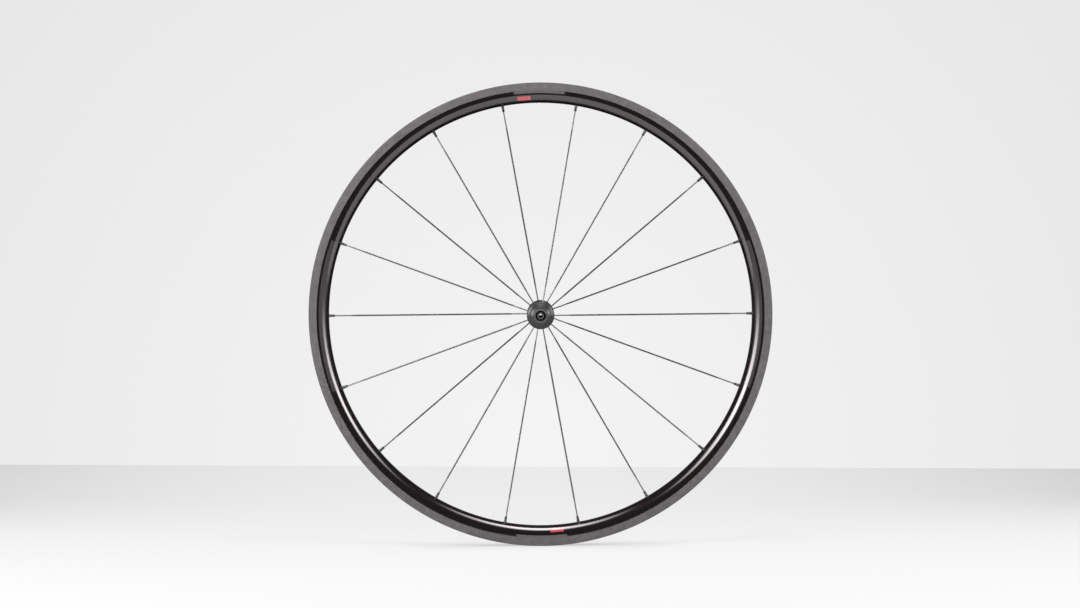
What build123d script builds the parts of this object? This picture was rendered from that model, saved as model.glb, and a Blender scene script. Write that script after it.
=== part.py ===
from build123d import *
import os
from math import atan2, cos, degrees, hypot, radians, sin, tan

# Front wheel of a road bicycle, for rim brakes, in millimetres.
# The origin is the wheel's centre, the axle lies along Y and Z points up.
# Angles round the wheel count from +X towards +Z.

# Rim: a hollow clincher section
bead_seat_diameter = 622.0
rim_flange_height = 5.5
rim_flange_thickness = 3.0
rim_inside_width = 21.0
rim_depth = 27.5
brake_track_height = 10.8
brake_track_step = 0.25
rim_nose_round = 10.6
rim_side_wall = 1.5
rim_nose_wall = 2.8
rim_bed_wall = 1.6
rim_lip_chamfer = 0.8
bead_hook_reach = 0.8
bead_hook_height = 1.9
bead_shelf_width = 3.6
bead_shelf_drop = 0.3
tyre_well_depth = 3.0
tyre_well_slope = 1.8

# Holes in the rim
valve_hole_diameter = 6.5
valve_angle = 90.0
access_hole_diameter = 8.5
spot_face_depth = 0.4
nipple_hole_clearance = 0.15
spot_face_clearance = 0.3

# Rim tape over the access holes
rim_tape_thickness = 0.5
rim_tape_gap = 0.05
rim_tape_margin = 1.0

# Spokes: straight pull, bladed between two round ends
spoke_count = 18
spoke_diameter = 1.8
spoke_blade_width = 2.2
spoke_blade_thickness = 0.95
spoke_blade_change = 7.0
spoke_round_at_hub = 20.0
spoke_round_at_rim = 28.0
spoke_head_diameter = 3.8
spoke_head_length = 2.0

# Nipples
nipple_diameter = 4.0
nipple_square = 3.3
nipple_square_length = 5.0
nipple_reach = 7.6
nipple_head_diameter = 6.0
nipple_head_height = 2.6
nipple_head_chamfer = 0.9
nipple_thread_clearance = 0.03
spoke_end_setback = 0.8

# Hub body
over_locknut_width = 100.0
flange_diameter = 37.5
flange_width = 7.0
flange_land = 2.6
flange_setback = 1.0
flange_edge_round = 1.0
flange_face_angle = 25.0
hub_barrel_diameter = 23.2
hub_barrel_straight = 26.0
hub_bore_diameter = 20.0
hub_nose_wall = 2.2
hub_nose_lip = 0.8
hub_nose_chamfer = 0.4
socket_clearance = 0.15

# Cartridge bearings
bearing_bore = 15.0
bearing_outside = 24.0
bearing_width = 5.0
bearing_seat_clearance = 0.01
ball_diameter = 2.4
ball_count = 11
ball_clearance = 0.05
race_shoulder = 0.72
cage_thickness = 0.8
cage_width = 3.3
cage_pocket_clearance = 0.06
seal_thickness = 0.5
seal_inset = 0.15
seal_step = 0.5
seal_lip_clearance = 0.1

# Axle and end caps
axle_shoulder_diameter = 17.0
axle_bore_diameter = 11.0
axle_end_setback = 0.3
cap_length = 6.5
cap_contact_diameter = 20.0
cap_face_angle = 25.0
cap_shield_diameter = 27.6
cap_shield_gap = 0.3
cap_groove_diameter = 14.2
cap_groove_depth = 1.5
cap_groove_undercut = 0.3
cap_stub_diameter = 9.0
cap_stub_length = 4.5
cap_stub_chamfer = 0.5
cap_plug_length = 8.0
cap_plug_clearance = 0.02
skewer_hole_diameter = 5.5
o_ring_section = 1.0
o_ring_squeeze = 0.02
o_ring_groove_clearance = 0.1

# Places that follow from the sizes
bead_seat_radius = bead_seat_diameter / 2
rim_radius = bead_seat_radius + rim_flange_height
nose_radius = rim_radius - rim_depth
track_radius = rim_radius - brake_track_height
rim_half_inside = rim_inside_width / 2
rim_half_width = rim_half_inside + rim_flange_thickness
painted_half_width = rim_half_width - brake_track_step
shelf_radius = bead_seat_radius - bead_shelf_drop
shelf_edge = rim_half_inside - bead_shelf_width
well_radius = shelf_radius - tyre_well_depth
well_edge = shelf_edge - tyre_well_slope

cap_contact_y = over_locknut_width / 2
bearing_outer_y = cap_contact_y - cap_length
bearing_inner_y = bearing_outer_y - bearing_width
bearing_y = (bearing_outer_y + bearing_inner_y) / 2
flange_outer_y = bearing_inner_y - flange_setback
flange_inner_y = flange_outer_y - flange_width
flange_y = (flange_outer_y + flange_inner_y) / 2
flange_radius = flange_diameter / 2
bearing_seat_radius = bearing_outside / 2 + bearing_seat_clearance
hub_nose_radius = bearing_seat_radius + hub_nose_wall
hub_nose_y = bearing_outer_y + hub_nose_lip
flange_face_rise = (flange_radius - hub_nose_radius) * tan(radians(flange_face_angle))

# A spoke pulls on the flange at its seat and crosses the rim's nose on the middle plane.
spoke_radius = spoke_diameter / 2
seat_radius = flange_radius - flange_land
spoke_span = hypot(nose_radius - seat_radius, flange_y)
spoke_lean = degrees(atan2(flange_y, nose_radius - seat_radius))
nipple_seat = spoke_span + rim_nose_wall - spot_face_depth
nipple_end = spoke_span - nipple_reach
nipple_top = nipple_seat + nipple_head_height
socket_floor = spoke_head_length + socket_clearance
flange_root_radius = seat_radius - socket_floor

ball_radius = ball_diameter / 2
pitch_radius = (bearing_bore + bearing_outside) / 4
groove_radius = ball_radius + ball_clearance

sides = {"left": 1, "right": -1}
spoke_step = 360 / spoke_count


def spoke_plane(index):
    """Plane at a spoke's seat: Z runs out along the spoke and Y points to the wheel's middle plane."""
    angle = radians(index * spoke_step)
    side = sides["left"] if index % 2 else sides["right"]
    lean = radians(spoke_lean)
    seat = Vector(seat_radius * cos(angle), side * flange_y, seat_radius * sin(angle))
    along = Vector(cos(lean) * cos(angle), -side * sin(lean), cos(lean) * sin(angle))
    tangent = Vector(-side * sin(angle), 0, side * cos(angle))
    return Plane(origin=seat, x_dir=tangent, z_dir=along)


def side_plane(side):
    """Plane across the axle at the wheel's middle, with Z pointing out of the given side."""
    return Plane(origin=(0, 0, 0), x_dir=(side, 0, 0), z_dir=(0, side, 0))


def nose_joint(half_width, height, nose_round):
    """Point and direction where the nose arc from (0, 0) meets the arc that ends upright at half_width."""
    rise = height - nose_round
    side_round = (half_width**2 + rise**2 - nose_round**2) / (2 * (half_width - nose_round))
    reach = nose_round / (side_round - nose_round)
    point = Vector((side_round - half_width) * reach, nose_round - rise * reach)
    direction = Vector(nose_round - point.Y, point.X)
    return point, direction


spoke_places = [spoke_plane(index).location for index in range(spoke_count)]
rim_places = [
    Plane(origin=(0, 0, 0), x_dir=(0, 1, 0), z_dir=(cos(angle), 0, sin(angle))).location
    for angle in (radians(index * spoke_step) for index in range(spoke_count))
]
valve_plane = Plane(
    origin=(0, 0, 0),
    x_dir=(0, 1, 0),
    z_dir=(cos(radians(valve_angle)), 0, sin(radians(valve_angle))),
)

os.makedirs("parts", exist_ok=True)

# Tools for the holes that repeat at every spoke

with BuildPart() as nipple_hole:
    with BuildSketch(Plane.XY.offset(nipple_end)):
        Circle(nipple_diameter / 2 + nipple_hole_clearance)
    extrude(amount=nipple_top - nipple_end)
    with BuildSketch(Plane.XY.offset(nipple_seat)):
        Circle(nipple_head_diameter / 2 + spot_face_clearance)
    extrude(amount=nipple_head_height)

with BuildPart() as access_hole:
    with BuildSketch(Plane.XY.offset(well_radius - 2 * rim_bed_wall)):
        Circle(access_hole_diameter / 2)
    extrude(amount=2 * rim_bed_wall + tyre_well_depth)

with BuildPart() as spoke_socket:
    with BuildSketch(Plane.XY.offset(-socket_floor)):
        with Locations((0, flange_width / 2)):
            SlotCenterToCenter(flange_width, spoke_head_diameter + 2 * socket_clearance, rotation=90)
    extrude(amount=socket_floor)
    with BuildSketch(Plane.XY):
        with Locations((0, flange_width / 2)):
            SlotCenterToCenter(flange_width, spoke_diameter + 2 * socket_clearance, rotation=90)
    extrude(amount=2 * flange_land)

# Rim

lip_chamfer = min(rim_lip_chamfer, 0.4 * rim_flange_thickness)
hook_edge = rim_half_inside - bead_hook_reach
hook_radius = rim_radius - bead_hook_height
nose_height = track_radius - nose_radius
cavity_half_width = painted_half_width - rim_side_wall
cavity_top = shelf_radius - rim_bed_wall
cavity_bottom = nose_radius + rim_nose_wall
nose_point, nose_direction = nose_joint(painted_half_width, nose_height, rim_nose_round)
nose_point += Vector(0, nose_radius)
# The cavity's sides turn upright at the brake track's edge, or above it in a rim too shallow for a round nose.
cavity_height = max(nose_height - rim_nose_wall, cavity_half_width + rim_side_wall)
cavity_side_radius = cavity_bottom + cavity_height
cavity_point, cavity_direction = nose_joint(
    cavity_half_width, cavity_height, rim_nose_round - rim_side_wall
)
cavity_point += Vector(0, cavity_bottom)

with BuildPart() as rim:
    with BuildSketch(Plane.YZ):
        with BuildLine():
            TangentArc((0, nose_radius), nose_point, tangent=(1, 0))
            TangentArc(nose_point, (painted_half_width, track_radius), tangent=nose_direction)
            Polyline(
                (painted_half_width, track_radius),
                (rim_half_width, track_radius),
                (rim_half_width, rim_radius - lip_chamfer),
                (rim_half_width - lip_chamfer, rim_radius),
                (hook_edge + lip_chamfer, rim_radius),
                (hook_edge, rim_radius - lip_chamfer),
                (hook_edge, hook_radius),
                (rim_half_inside, hook_radius - bead_hook_reach),
                (rim_half_inside, bead_seat_radius),
                (shelf_edge, shelf_radius),
                (well_edge, well_radius),
                (0, well_radius),
            )
            mirror(about=Plane.YZ)
        make_face()
        with BuildLine():
            TangentArc((0, cavity_bottom), cavity_point, tangent=(1, 0))
            TangentArc(cavity_point, (cavity_half_width, cavity_side_radius), tangent=cavity_direction)
            Polyline(
                (cavity_half_width, cavity_side_radius),
                (cavity_half_width, cavity_top),
                (shelf_edge, cavity_top),
                (well_edge, well_radius - rim_bed_wall),
                (0, well_radius - rim_bed_wall),
            )
            mirror(about=Plane.YZ)
        make_face(mode=Mode.SUBTRACT)
    revolve(axis=Axis.Y)
    with Locations(*spoke_places):
        add(nipple_hole.part, mode=Mode.SUBTRACT)
    with Locations(*rim_places):
        add(access_hole.part, mode=Mode.SUBTRACT)
    with BuildSketch(valve_plane.offset(nose_radius - rim_nose_wall)):
        Circle(valve_hole_diameter / 2)
    extrude(amount=rim_depth, mode=Mode.SUBTRACT)
rim.part.label = "rim"
export_step(rim.part, "parts/rim.step")

# Rim tape: lies in the well, up its slopes and over the start of the bead shelves

tape_slope = (shelf_radius - bead_seat_radius) / (shelf_edge - rim_half_inside)
tape_edge = shelf_edge + rim_tape_margin
tape_edge_radius = shelf_radius + tape_slope * rim_tape_margin

with BuildPart() as rim_tape:
    with BuildSketch(Plane.YZ):
        with BuildLine():
            Polyline(
                (0, well_radius + rim_tape_gap),
                (well_edge, well_radius + rim_tape_gap),
                (shelf_edge, shelf_radius + rim_tape_gap),
                (tape_edge, tape_edge_radius + rim_tape_gap),
                (tape_edge, tape_edge_radius + rim_tape_gap + rim_tape_thickness),
                (shelf_edge, shelf_radius + rim_tape_gap + rim_tape_thickness),
                (well_edge, well_radius + rim_tape_gap + rim_tape_thickness),
                (0, well_radius + rim_tape_gap + rim_tape_thickness),
            )
            mirror(about=Plane.YZ)
        make_face()
    revolve(axis=Axis.Y)
    with BuildSketch(valve_plane.offset(well_radius)):
        Circle(valve_hole_diameter / 2)
    extrude(amount=tyre_well_depth, mode=Mode.SUBTRACT)
rim_tape.part.label = "rim_tape"
export_step(rim_tape.part, "parts/rim_tape.step")

# Spokes: one is modelled along Z from its seat, then each is laid on its own line

blade_start = spoke_round_at_hub + spoke_blade_change
round_start = spoke_span - spoke_round_at_rim
blade_end = round_start - spoke_blade_change
spoke_end = nipple_top - spoke_end_setback

with BuildPart() as spoke_pattern:
    with BuildSketch(Plane.XY):
        Circle(spoke_head_diameter / 2)
    extrude(amount=-spoke_head_length)
    with BuildSketch(Plane.XY):
        Circle(spoke_radius)
    extrude(amount=spoke_round_at_hub)
    with BuildSketch(Plane.XY.offset(blade_start)):
        Ellipse(spoke_blade_width / 2, spoke_blade_thickness / 2)
    extrude(amount=blade_end - blade_start)
    with BuildSketch(Plane.XY.offset(round_start)):
        Circle(spoke_radius)
    extrude(amount=spoke_end - round_start)
    for blade_height, round_height in ((blade_start, spoke_round_at_hub), (blade_end, round_start)):
        with BuildSketch(Plane.XY.offset(round_height)):
            Circle(spoke_radius)
        with BuildSketch(Plane.XY.offset(blade_height)):
            Ellipse(spoke_blade_width / 2, spoke_blade_thickness / 2)
        loft(ruled=True)

for index in range(spoke_count):
    spoke_name = f"spoke_{index + 1:02d}"
    with BuildPart() as spoke:
        with Locations(spoke_places[index]):
            add(spoke_pattern.part)
    spoke.part.label = spoke_name
    export_step(spoke.part, f"parts/{spoke_name}.step")

# Nipples: round bodies milled square for the key, with heads that seat inside the rim

with BuildPart() as nipple_pattern:
    with BuildSketch(Plane.XY.offset(nipple_end)):
        Circle(nipple_diameter / 2)
        Rectangle(nipple_square, nipple_square, mode=Mode.INTERSECT)
    extrude(amount=nipple_square_length)
    with BuildSketch(Plane.XY.offset(nipple_end + nipple_square_length)):
        Circle(nipple_diameter / 2)
    extrude(amount=nipple_seat - nipple_end - nipple_square_length)
    with BuildSketch(Plane.XY.offset(nipple_seat)):
        Circle(nipple_head_diameter / 2)
    extrude(amount=nipple_head_height)
    chamfer(nipple_pattern.edges().group_by(Axis.Z)[-1], nipple_head_chamfer)
    with BuildSketch(Plane.XY.offset(nipple_end)):
        Circle(spoke_radius + nipple_thread_clearance)
    extrude(amount=nipple_top - nipple_end, mode=Mode.SUBTRACT)

with BuildPart() as nipples:
    with Locations(*spoke_places):
        add(nipple_pattern.part)
nipples.part.label = "nipples"
export_step(nipples.part, "parts/nipples.step")

# Hub body: a turned barrel with two flanges and a socket for every spoke

barrel_radius = hub_barrel_diameter / 2
barrel_end = hub_barrel_straight / 2
flange_round = min(flange_edge_round, 0.3 * flange_width)
face_start = (
    flange_outer_y + flange_round * sin(radians(flange_face_angle)),
    flange_radius - flange_round * cos(radians(flange_face_angle)),
)

with BuildPart() as hub_body:
    with BuildSketch(Plane.YZ):
        with BuildLine():
            Line((0, barrel_radius), (barrel_end, barrel_radius))
            TangentArc((barrel_end, barrel_radius), (flange_inner_y, flange_root_radius), tangent=(1, 0))
            Line((flange_inner_y, flange_root_radius), (flange_inner_y, flange_radius - flange_round))
            TangentArc(
                (flange_inner_y, flange_radius - flange_round),
                (flange_inner_y + flange_round, flange_radius),
                tangent=(0, 1),
            )
            Line(
                (flange_inner_y + flange_round, flange_radius),
                (flange_outer_y - flange_round, flange_radius),
            )
            TangentArc((flange_outer_y - flange_round, flange_radius), face_start, tangent=(1, 0))
            Polyline(
                face_start,
                (flange_outer_y + flange_face_rise, hub_nose_radius),
                (hub_nose_y - hub_nose_chamfer, hub_nose_radius),
                (hub_nose_y, hub_nose_radius - hub_nose_chamfer),
                (hub_nose_y, bearing_seat_radius),
                (bearing_inner_y, bearing_seat_radius),
                (bearing_inner_y, hub_bore_diameter / 2),
                (0, hub_bore_diameter / 2),
            )
            mirror(about=Plane.YZ)
        make_face()
    revolve(axis=Axis.Y)
    with Locations(*spoke_places):
        add(spoke_socket.part, mode=Mode.SUBTRACT)
hub_body.part.label = "hub_body"
export_step(hub_body.part, "parts/hub_body.step")

# Axle: a hollow tube with a shoulder for each bearing's inner ring

journal_radius = bearing_bore / 2 - bearing_seat_clearance

with BuildPart() as axle:
    with BuildSketch(Plane.YZ):
        with BuildLine():
            Polyline(
                (0, axle_bore_diameter / 2),
                (bearing_outer_y - axle_end_setback, axle_bore_diameter / 2),
                (bearing_outer_y - axle_end_setback, journal_radius),
                (bearing_inner_y, journal_radius),
                (bearing_inner_y, axle_shoulder_diameter / 2),
                (0, axle_shoulder_diameter / 2),
            )
            mirror(about=Plane.YZ)
        make_face()
    revolve(axis=Axis.Y)
axle.part.label = "axle"
export_step(axle.part, "parts/axle.step")

# Bearings, end caps and their O-rings, on both sides

inner_land = pitch_radius - race_shoulder
outer_land = pitch_radius + race_shoulder
half_bearing = bearing_width / 2
seal_radius = outer_land + seal_step
seal_face = bearing_y + half_bearing - seal_inset
plug_radius = axle_bore_diameter / 2 - cap_plug_clearance
plug_end_y = bearing_outer_y - cap_plug_length
groove_half_width = o_ring_section / 2 + o_ring_groove_clearance
o_ring_centre = axle_bore_diameter / 2 - o_ring_squeeze - o_ring_section / 2
o_ring_y = bearing_outer_y - cap_plug_length / 2
shield_inner_y = hub_nose_y + cap_shield_gap
shield_slope = tan(radians(cap_face_angle))
shield_outer_y = cap_contact_y - (cap_shield_diameter - cap_contact_diameter) / 2 * shield_slope

for side_name, side in sides.items():
    section = Plane(origin=(0, 0, 0), x_dir=(0, side, 0), z_dir=(side, 0, 0))

    with BuildPart() as outer_ring:
        with BuildSketch(section):
            with Locations((bearing_y, (outer_land + bearing_outside / 2) / 2)):
                Rectangle(bearing_width, bearing_outside / 2 - outer_land)
            with Locations((bearing_y, pitch_radius)):
                Circle(groove_radius, mode=Mode.SUBTRACT)
            for face_y in (-half_bearing, half_bearing):
                with Locations((bearing_y + face_y, outer_land)):
                    Rectangle(2 * (seal_inset + seal_thickness), 2 * seal_step, mode=Mode.SUBTRACT)
        revolve(axis=Axis.Y)
    outer_ring.part.label = f"{side_name}_bearing_outer_ring"
    export_step(outer_ring.part, f"parts/{side_name}_bearing_outer_ring.step")

    with BuildPart() as inner_ring:
        with BuildSketch(section):
            with Locations((bearing_y, (inner_land + bearing_bore / 2) / 2)):
                Rectangle(bearing_width, inner_land - bearing_bore / 2)
            with Locations((bearing_y, pitch_radius)):
                Circle(groove_radius, mode=Mode.SUBTRACT)
        revolve(axis=Axis.Y)
    inner_ring.part.label = f"{side_name}_bearing_inner_ring"
    export_step(inner_ring.part, f"parts/{side_name}_bearing_inner_ring.step")

    with BuildPart() as balls:
        with Locations(side_plane(side).offset(bearing_y).location):
            with PolarLocations(pitch_radius, ball_count):
                Sphere(ball_radius)
    balls.part.label = f"{side_name}_bearing_balls"
    export_step(balls.part, f"parts/{side_name}_bearing_balls.step")

    with BuildPart() as cage:
        with BuildSketch(section):
            with Locations((bearing_y, pitch_radius)):
                Rectangle(cage_width, cage_thickness)
        revolve(axis=Axis.Y)
        with Locations(side_plane(side).offset(bearing_y).location):
            with PolarLocations(pitch_radius, ball_count):
                Cylinder(
                    ball_radius + cage_pocket_clearance,
                    2 * cage_thickness,
                    rotation=(0, 90, 0),
                    mode=Mode.SUBTRACT,
                )
    cage.part.label = f"{side_name}_bearing_cage"
    export_step(cage.part, f"parts/{side_name}_bearing_cage.step")

    for place, middle_y in (
        ("outer", seal_face - seal_thickness / 2),
        ("inner", 2 * bearing_y - seal_face + seal_thickness / 2),
    ):
        with BuildPart() as seal:
            with BuildSketch(section):
                with Locations((middle_y, (inner_land + seal_lip_clearance + seal_radius) / 2)):
                    Rectangle(seal_thickness, seal_radius - inner_land - seal_lip_clearance)
            revolve(axis=Axis.Y)
        seal.part.label = f"{side_name}_bearing_{place}_seal"
        export_step(seal.part, f"parts/{side_name}_bearing_{place}_seal.step")

    with BuildPart() as end_cap:
        with BuildSketch(section):
            with BuildLine():
                Polyline(
                    (plug_end_y, skewer_hole_diameter / 2),
                    (plug_end_y, plug_radius),
                    (bearing_outer_y, plug_radius),
                    (bearing_outer_y, inner_land),
                    (shield_inner_y, inner_land),
                    (shield_inner_y, cap_shield_diameter / 2),
                    (shield_outer_y, cap_shield_diameter / 2),
                    (cap_contact_y, cap_contact_diameter / 2),
                    (cap_contact_y, cap_groove_diameter / 2),
                    (cap_contact_y - cap_groove_depth, cap_groove_diameter / 2),
                    (cap_contact_y - cap_groove_depth, cap_stub_diameter / 2 - cap_groove_undercut),
                    (cap_contact_y, cap_stub_diameter / 2 - cap_groove_undercut),
                    (cap_contact_y, cap_stub_diameter / 2),
                    (cap_contact_y + cap_stub_length - cap_stub_chamfer, cap_stub_diameter / 2),
                    (cap_contact_y + cap_stub_length, cap_stub_diameter / 2 - cap_stub_chamfer),
                    (cap_contact_y + cap_stub_length, skewer_hole_diameter / 2),
                    close=True,
                )
            make_face()
            with Locations((o_ring_y, plug_radius)):
                Rectangle(
                    2 * groove_half_width,
                    2 * (plug_radius - o_ring_centre + groove_half_width),
                    mode=Mode.SUBTRACT,
                )
        revolve(axis=Axis.Y)
    end_cap.part.label = f"{side_name}_end_cap"
    export_step(end_cap.part, f"parts/{side_name}_end_cap.step")

    with BuildPart() as o_ring:
        with BuildSketch(section):
            with Locations((o_ring_y, o_ring_centre)):
                Circle(o_ring_section / 2)
        revolve(axis=Axis.Y)
    o_ring.part.label = f"{side_name}_cap_o_ring"
    export_step(o_ring.part, f"parts/{side_name}_cap_o_ring.step")
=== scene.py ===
from math import atan2, cos, hypot, pi, radians, sin, tan

import bmesh
import bpy
from bpy.props import FloatProperty, FloatVectorProperty, IntProperty, PointerProperty
from bpy.types import NodeSocket, Operator, Panel, PropertyGroup
from mathutils import Matrix, Vector


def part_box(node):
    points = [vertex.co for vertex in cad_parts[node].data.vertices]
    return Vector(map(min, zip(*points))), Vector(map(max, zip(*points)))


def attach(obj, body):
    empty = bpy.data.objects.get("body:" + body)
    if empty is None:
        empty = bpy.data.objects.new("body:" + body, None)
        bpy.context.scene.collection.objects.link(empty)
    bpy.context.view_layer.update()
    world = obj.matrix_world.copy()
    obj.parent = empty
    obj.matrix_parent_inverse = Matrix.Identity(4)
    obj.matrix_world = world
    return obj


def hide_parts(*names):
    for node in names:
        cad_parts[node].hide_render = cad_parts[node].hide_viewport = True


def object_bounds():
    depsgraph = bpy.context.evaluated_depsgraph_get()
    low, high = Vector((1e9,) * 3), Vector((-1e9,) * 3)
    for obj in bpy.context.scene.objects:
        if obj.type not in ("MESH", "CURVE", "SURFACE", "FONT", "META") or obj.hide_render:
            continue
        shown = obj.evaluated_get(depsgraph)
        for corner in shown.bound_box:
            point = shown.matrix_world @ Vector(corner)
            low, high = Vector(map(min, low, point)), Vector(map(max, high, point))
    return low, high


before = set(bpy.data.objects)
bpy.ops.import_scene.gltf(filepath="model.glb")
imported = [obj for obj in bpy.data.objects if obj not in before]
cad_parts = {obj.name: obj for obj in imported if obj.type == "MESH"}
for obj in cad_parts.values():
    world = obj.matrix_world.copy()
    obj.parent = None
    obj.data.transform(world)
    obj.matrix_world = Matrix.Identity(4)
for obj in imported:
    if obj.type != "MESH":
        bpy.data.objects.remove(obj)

bl_info = {
    "name": "Road wheel",
    "version": (1, 0, 0),
    "blender": (4, 5, 0),
    "location": "View3D > Sidebar > Wheel",
    "description": "Finishes a front wheel: rim, tape, spokes, nipples, hub, end caps, bearings and studio",
    "category": "Object",
}

cad_low, cad_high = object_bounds()

MM = 0.001
SIDES = {"left": 1, "right": -1}
SPOKES = sorted(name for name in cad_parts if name.startswith("spoke_"))
RIM_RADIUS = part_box("rim")[1].z
RIM_HALF_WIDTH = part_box("rim")[1].y
FLANGE_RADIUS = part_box("hub_body")[1].x
HUB_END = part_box("hub_body")[1].y
CAP_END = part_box("left_end_cap")[1].y
# Keeps the flat sides of a slot's cutter off the round ones, so that no two faces share a plane
SLOT_RELIEF = 0.01 * MM
# How near a point has to lie to a flat face to count as part of it
FACE_TOLERANCE = 0.02 * MM
RECESS_TOLERANCE = 0.05 * MM


def length(name, description, millimetres):
    """A length property, with its default in millimetres."""
    return FloatProperty(
        name=name, description=description, default=millimetres * MM, unit="LENGTH", precision=5
    )


def tilt(name, description, degrees):
    """An angle property, with its default in degrees."""
    return FloatProperty(name=name, description=description, default=radians(degrees), subtype="ANGLE")


def number(name, description, default):
    """A plain number property."""
    return FloatProperty(name=name, description=description, default=default)


def count(name, description, default):
    """A property that counts steps or pieces."""
    return IntProperty(name=name, description=description, default=default, min=3)


def colour(name, description, *default):
    """A linear colour property."""
    return FloatVectorProperty(name=name, description=description, default=default, size=3, subtype="COLOR")


# Sizes, finishes and stage settings that a user would change


class WheelRimSizes(PropertyGroup):
    """Section of the rim and of the tape in its well"""

    depth: length("Depth", "Radial height of the rim's section", 27.5)
    track_height: length("Brake track", "Radial height of the flat brake track", 10.8)
    track_step: length("Track step", "How far the track stands out from the lacquered side", 0.25)
    nose_round: length("Nose round", "Radius of the nose that the spokes enter", 10.6)
    lip_round: length("Lip round", "Radius on the edges of the two lips", 0.8)
    lip_width: length("Lip width", "Thickness of each lip above the bead seat", 3.0)
    bead_drop: length("Bead seat drop", "Depth of the bead seat below the lips", 5.5)
    hook_reach: length("Hook reach", "How far each hook reaches over the bead", 0.8)
    hook_height: length("Hook height", "Height of each hook at its edge", 1.9)
    shelf_width: length("Shelf width", "Width of each bead shelf", 3.6)
    shelf_drop: length("Shelf drop", "Fall of each shelf towards the well", 0.3)
    well_depth: length("Well depth", "Depth of the well below the shelves", 3.0)
    well_slope: length("Well slope", "Width of each sloping side of the well", 1.8)
    side_wall: length("Side wall", "Thickness of the side walls", 1.5)
    nose_wall: length("Nose wall", "Thickness of the nose", 2.8)
    bed_wall: length("Bed wall", "Thickness of the bed", 1.6)
    nipple_hole: length("Nipple hole", "Diameter of the holes in the nose", 4.3)
    access_hole: length("Access hole", "Diameter of the holes in the bed", 8.5)
    valve_hole: length("Valve hole", "Diameter of the valve's hole", 6.5)
    tape_thickness: length("Tape thickness", "Thickness of the rim tape", 0.5)
    tape_gap: length("Tape gap", "Clearance under the rim tape", 0.05)
    tape_margin: length("Tape margin", "How far the tape covers each shelf", 1.0)
    segments: count("Segments", "Steps round the rim", 360)


class WheelSpokeSizes(PropertyGroup):
    """Straight-pull bladed spokes and their nipples"""

    count: count("Count", "Number of spokes", len(SPOKES))
    seat_radius: length("Seat radius", "Distance of a spoke's seat from the axle", 16.15)
    flange_offset: length("Flange offset", "Distance of the seats from the middle plane", 34.0)
    diameter: length("Diameter", "Diameter of the round ends", 1.8)
    blade_width: length("Blade width", "Width of the flattened middle", 2.2)
    blade_thickness: length("Blade thickness", "Thickness of the flattened middle", 0.95)
    blade_change: length("Blade change", "Length of the change from round to flat", 7.0)
    round_at_hub: length("Round at hub", "Round length at the hub", 20.0)
    round_at_rim: length("Round at rim", "Round length at the rim", 28.0)
    head_diameter: length("Head diameter", "Diameter of the head in the flange", 3.8)
    head_length: length("Head length", "Length of the head in the flange", 2.0)
    edge: length("Spoke edge", "Chamfer on the head and on the end of a spoke", 0.3)
    end_setback: length("End setback", "How far a spoke ends below the top of its nipple", 0.8)
    nipple_diameter: length("Nipple diameter", "Diameter of the nipple's body", 4.0)
    nipple_square: length("Nipple square", "Width across the flats for the key", 3.3)
    nipple_square_length: length("Square length", "Length of the flats", 5.0)
    nipple_reach: length("Nipple reach", "How far a nipple stands out of the nose", 7.6)
    nipple_head: length("Nipple head", "Diameter of the head inside the rim", 6.0)
    nipple_head_height: length("Nipple head height", "Height of the head inside the rim", 2.6)
    nipple_head_chamfer: length("Nipple head chamfer", "Chamfer on top of the head inside the rim", 0.75)
    nipple_edge: length("Nipple edge", "Chamfer on the flats of a nipple", 0.25)
    nipple_seat_depth: length("Nipple seat", "Depth of the nipple's seat behind the nose", 2.4)
    thread_clearance: length("Thread clearance", "Room between a nipple and its spoke", 0.03)


class WheelHubSizes(PropertyGroup):
    """Hub body"""

    flange_width: length("Flange width", "Width of each flange", 7.0)
    flange_outer: length("Flange face", "Distance of a flange's outer face from the middle", 37.5)
    flange_round: length("Flange round", "Radius on the edges of the flanges", 1.0)
    root_radius: length("Root radius", "Radius where the barrel meets a flange", 14.0)
    barrel_radius: length("Barrel radius", "Radius of the barrel", 11.6)
    barrel_straight: length("Barrel straight", "Half length of the straight barrel", 13.0)
    bore_radius: length("Bore radius", "Radius of the bore", 10.0)
    face_angle: tilt("Face angle", "Slope of the coned outer faces", 25)
    nose_radius: length("Nose radius", "Radius of the rings round the bearings", 14.21)
    nose_chamfer: length("Nose chamfer", "Chamfer on the rings' outer edge", 0.4)
    bearing_seat: length("Bearing seat", "Radius of the bearing seats", 12.01)
    bearing_inner: length("Bearing shoulder", "Distance of a bearing's inner face from the middle", 38.5)
    socket_clearance: length("Socket clearance", "Room round a spoke's head", 0.15)
    segments: count("Segments", "Steps round the hub", 240)


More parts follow.
